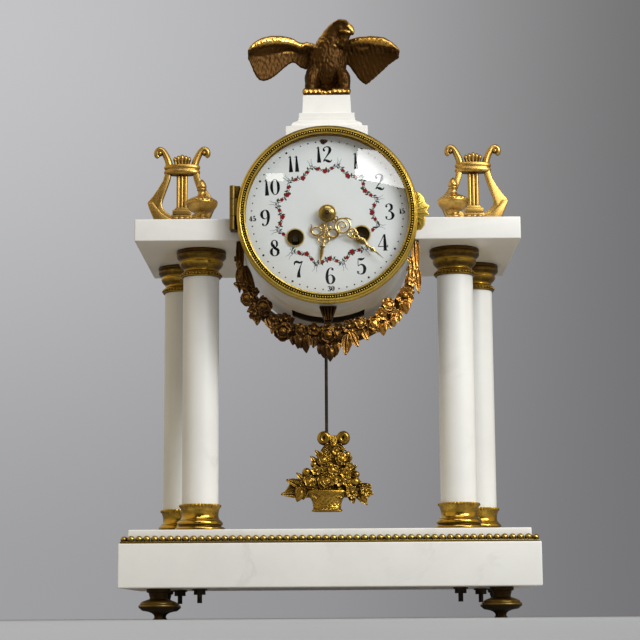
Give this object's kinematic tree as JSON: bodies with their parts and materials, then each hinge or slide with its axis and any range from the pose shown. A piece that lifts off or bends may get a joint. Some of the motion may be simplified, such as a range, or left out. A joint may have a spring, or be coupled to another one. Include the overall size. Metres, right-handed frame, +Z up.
{
  "type": "table clock",
  "caption": "Portico table clock: marble columns carry a drum case with an enamel dial; gilt mounts, an eagle finial and a flower basket pendulum over a beaded marble base.",
  "frame": {"origin": "middle of the ground area of the whole object, at the level of the feet's lowest discs", "axes": "+X to the viewer's right, -Y out of the dial towards the viewer, +Z up"},
  "size_m": [0.25, 0.1412, 0.38],
  "materials": {
    "white_marble": "polished",
    "gilt_bronze": "fire gilt, satin and burnished",
    "dark_iron": "blackened",
    "enamel": "glossy",
    "glass": "clear",
    "steel": "polished",
    "movement_brass": "grained"
  },
  "bodies": {
    "case": {"base_slab": "white_marble", "base_step": "white_marble", "bead_trim": "gilt_bronze", "feet": "gilt_bronze", "column_front_left": "white_marble", "column_front_right": "white_marble", "column_rear_left": "white_marble", "column_rear_right": "white_marble", "capitals": "gilt_bronze", "column_bases": "gilt_bronze", "tie_rods": "dark_iron", "tie_rod_nuts": "dark_iron", "entablature_left": "white_marble", "entablature_right": "white_marble", "drum_bolts": "dark_iron", "drum_case": "white_marble", "eagle_plinth": "white_marble", "eagle": "gilt_bronze", "lyre_left": "gilt_bronze", "lyre_right": "gilt_bronze", "urn_left": "gilt_bronze", "urn_right": "gilt_bronze", "swag": "gilt_bronze", "bezel_hinge": "gilt_bronze", "dial": "enamel", "dial_ring": "movement_brass", "dial_pillars": "movement_brass", "winding_rims": "gilt_bronze", "front_plate": "movement_brass", "back_plate": "movement_brass", "plate_pillars": "movement_brass", "suspension_cock": "movement_brass", "bell_post": "steel", "bell": "movement_brass", "movement_straps": "movement_brass", "rear_ring": "gilt_bronze"},
    "bezel": {"bezel_ring": "gilt_bronze", "bezel_glass": "glass"},
    "rear_door": {"back_door": "gilt_bronze"},
    "minute_train": {"centre_wheel": "movement_brass", "cannon_pinion": "steel", "minute_hand": "gilt_bronze", "hand_collet": "gilt_bronze"},
    "hour_train": {"hour_hand": "gilt_bronze", "hour_wheel": "movement_brass"},
    "motion_wheel": {"minute_wheel": "movement_brass"},
    "second_wheel": {"intermediate_wheel": "movement_brass"},
    "going_drum": {"going_barrel": "movement_brass"},
    "third_arbor": {"third_wheel": "movement_brass"},
    "fourth_arbor": {"fourth_wheel": "movement_brass"},
    "escape_arbor": {"escape_wheel": "movement_brass"},
    "going_winder": {"going_arbor": "steel"},
    "strike_winder": {"strike_arbor": "steel"},
    "strike_drum": {"strike_barrel": "movement_brass"},
    "pendulum": {"suspension_spring": "steel", "pendulum_rod": "steel", "pendulum_bob": "gilt_bronze"},
    "pallets": {"anchor": "steel"},
    "bell_hammer": {"hammer": "steel"},
    "regulator": {"regulator_arbor": "steel"}
  },
  "joints": [
    {"name": "bezel_opens", "type": "hinge", "parent": "case", "child": "bezel", "pos_m": [-0.0573, -0.0618, 0.2455], "axis": [0, 0, -1], "range_deg": [0, 105]},
    {"name": "rear_door_opens", "type": "hinge", "parent": "case", "child": "rear_door", "pos_m": [0.0492, 0.0464, 0.241], "axis": [0, 0, -1], "range_deg": [0, 90]},
    {"name": "minute_hand_turns", "type": "hinge", "parent": "case", "child": "minute_train", "pos_m": [0, -0.05, 0.241], "axis": [0, 1, 0], "continuous": true},
    {"name": "hour_hand_turns", "type": "hinge", "parent": "case", "child": "hour_train", "pos_m": [0, -0.055, 0.241], "axis": [0, 1, 0], "continuous": true},
    {"name": "motion_wheel_turns", "type": "hinge", "parent": "case", "child": "motion_wheel", "pos_m": [-0.00052, -0.052, 0.25299], "axis": [0, 1, 0], "continuous": true},
    {"name": "second_wheel_turns", "type": "hinge", "parent": "case", "child": "second_wheel", "pos_m": [-0.00009, -0.03, 0.2248], "axis": [0, 1, 0], "continuous": true},
    {"name": "going_drum_turns", "type": "hinge", "parent": "case", "child": "going_drum", "pos_m": [0.02056, -0.03, 0.22862], "axis": [0, 1, 0], "continuous": true},
    {"name": "third_arbor_turns", "type": "hinge", "parent": "case", "child": "third_arbor", "pos_m": [0.01239, -0.03, 0.25235], "axis": [0, 1, 0], "continuous": true},
    {"name": "fourth_arbor_turns", "type": "hinge", "parent": "case", "child": "fourth_arbor", "pos_m": [0.00931, -0.03, 0.26672], "axis": [0, 1, 0], "continuous": true},
    {"name": "escape_arbor_turns", "type": "hinge", "parent": "case", "child": "escape_arbor", "pos_m": [-0.00105, -0.03, 0.26498], "axis": [0, 1, 0], "continuous": true},
    {"name": "going_winder_turns", "type": "hinge", "parent": "case", "child": "going_winder", "pos_m": [0.02056, -0.03, 0.22862], "axis": [0, 1, 0], "continuous": true},
    {"name": "strike_winder_turns", "type": "hinge", "parent": "case", "child": "strike_winder", "pos_m": [-0.0194, -0.03, 0.22687], "axis": [0, 1, 0], "continuous": true},
    {"name": "strike_drum_turns", "type": "hinge", "parent": "case", "child": "strike_drum", "pos_m": [-0.0194, -0.03, 0.22687], "axis": [0, 1, 0], "continuous": true},
    {"name": "pendulum_swings", "type": "hinge", "parent": "case", "child": "pendulum", "pos_m": [-0.00155, 0.0015, 0.27647], "axis": [0, 1, 0], "range_deg": [-3, 3]},
    {"name": "pallets_rock", "type": "hinge", "parent": "case", "child": "pallets", "pos_m": [-0.00155, -0.01, 0.27647], "axis": [0, 1, 0], "range_deg": [-3, 3]},
    {"name": "bell_hammer_lifts", "type": "hinge", "parent": "case", "child": "bell_hammer", "pos_m": [-0.03632, 0, 0.24742], "axis": [0, 1, 0], "range_deg": [0, 15]},
    {"name": "regulator_turns", "type": "hinge", "parent": "case", "child": "regulator", "pos_m": [-0.002, -0.05, 0.28676], "axis": [0, 1, 0], "range_deg": [-720, 720]}
  ],
  "couplings": [
    {"joint": "hour_hand_turns", "follows": "minute_hand_turns", "ratio": 0.083333},
    {"joint": "motion_wheel_turns", "follows": "minute_hand_turns", "ratio": -0.33333},
    {"joint": "second_wheel_turns", "follows": "minute_hand_turns", "ratio": -0.2},
    {"joint": "going_drum_turns", "follows": "minute_hand_turns", "ratio": 0.033333},
    {"joint": "third_arbor_turns", "follows": "minute_hand_turns", "ratio": -6},
    {"joint": "fourth_arbor_turns", "follows": "minute_hand_turns", "ratio": 36},
    {"joint": "escape_arbor_turns", "follows": "minute_hand_turns", "ratio": -144},
    {"joint": "pallets_rock", "follows": "pendulum_swings", "ratio": 1}
  ]
}
